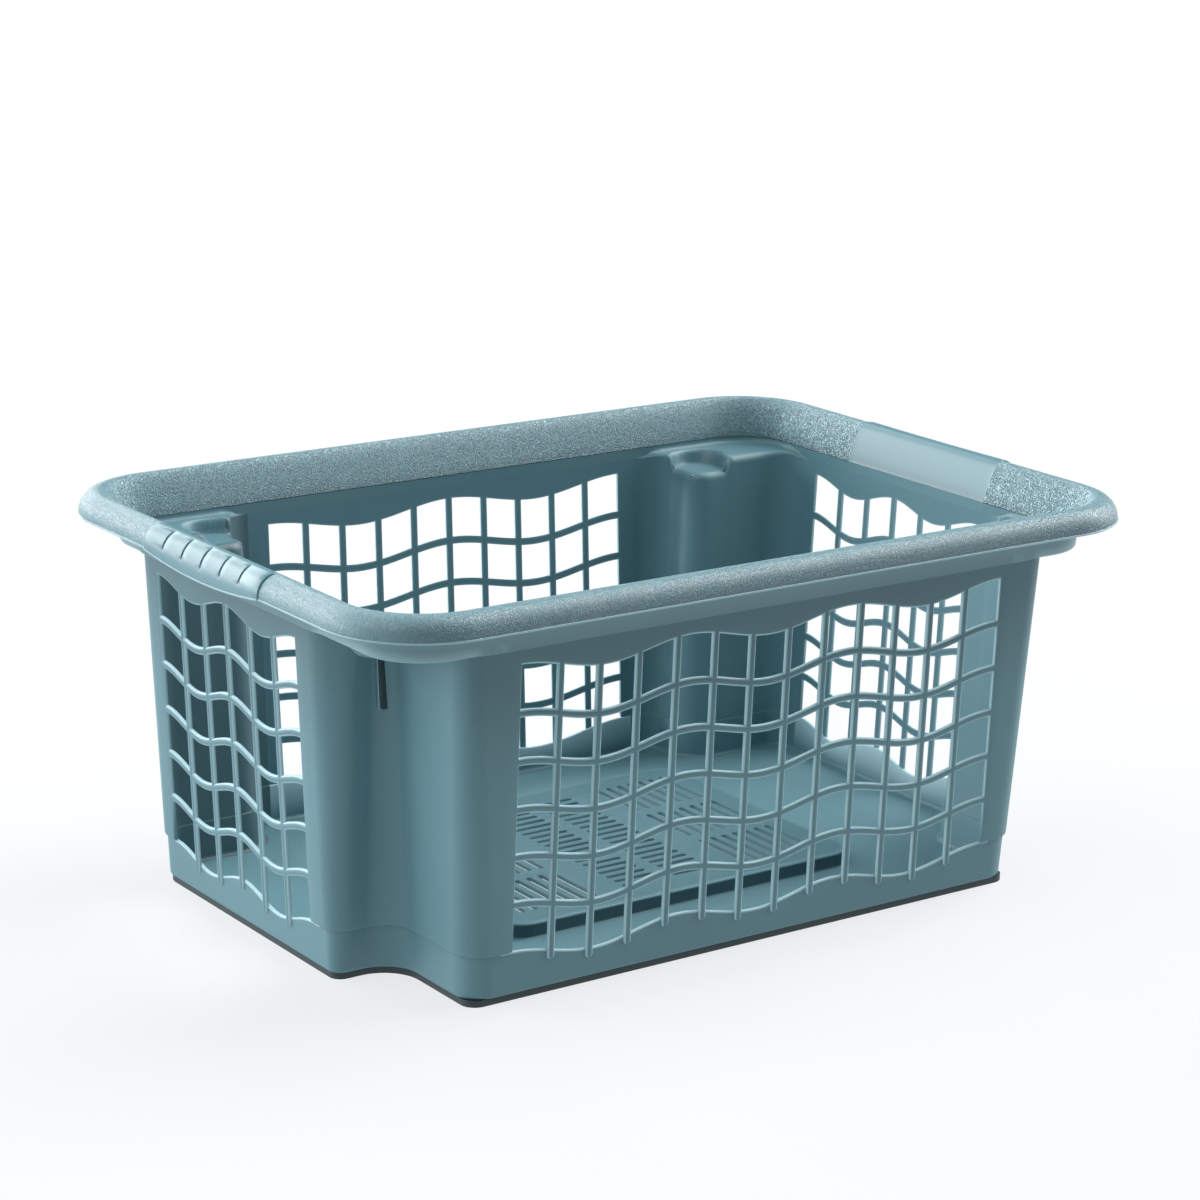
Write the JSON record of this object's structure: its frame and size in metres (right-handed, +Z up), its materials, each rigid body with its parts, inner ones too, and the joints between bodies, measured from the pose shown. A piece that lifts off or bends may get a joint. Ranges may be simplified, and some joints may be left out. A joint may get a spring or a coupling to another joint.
{
  "type": "laundry basket",
  "caption": "Rectangular laundry basket with leaning walls of wavy grid openings, recessed corners with stacking ledges, a flared hooked rim and grooved hand grips at the ends.",
  "frame": {"origin": "centre of the overall box, on the ground under the foot ring", "axes": "+X along the long side, +Y towards the rear wall (the wall with the narrower opening), +Z up"},
  "size_m": [0.5854, 0.426, 0.256],
  "materials": {
    "basket_plastic": "dusty teal moulded plastic, fine matte on the walls and floor, pebble grain on the rim",
    "grip_plastic": "the same dusty teal plastic with a smooth satin face"
  },
  "bodies": {
    "root": {"foot_ring": "basket_plastic", "floor_channel": "basket_plastic", "floor_riser": "basket_plastic", "floor_panel": "basket_plastic", "skirt_front": "basket_plastic", "grille_front": "basket_plastic", "skirt_rear": "basket_plastic", "grille_rear": "basket_plastic", "skirt_left": "basket_plastic", "grille_left": "basket_plastic", "skirt_right": "basket_plastic", "grille_right": "basket_plastic", "corner_column_front_left": "basket_plastic", "stacking_ledge_front_left": "basket_plastic", "ledge_scoop_front_left": "basket_plastic", "scoop_rib_front_left": "basket_plastic", "rim_corner_front_left": "basket_plastic", "corner_column_front_right": "basket_plastic", "stacking_ledge_front_right": "basket_plastic", "ledge_scoop_front_right": "basket_plastic", "scoop_rib_front_right": "basket_plastic", "rim_corner_front_right": "basket_plastic", "corner_column_rear_left": "basket_plastic", "stacking_ledge_rear_left": "basket_plastic", "ledge_scoop_rear_left": "basket_plastic", "scoop_rib_rear_left": "basket_plastic", "rim_corner_rear_left": "basket_plastic", "corner_column_rear_right": "basket_plastic", "stacking_ledge_rear_right": "basket_plastic", "ledge_scoop_rear_right": "basket_plastic", "scoop_rib_rear_right": "basket_plastic", "rim_corner_rear_right": "basket_plastic", "rim_front": "basket_plastic", "rim_rear": "basket_plastic", "hand_grip_left": "grip_plastic", "hand_grip_right": "grip_plastic"}
  },
  "joints": []
}
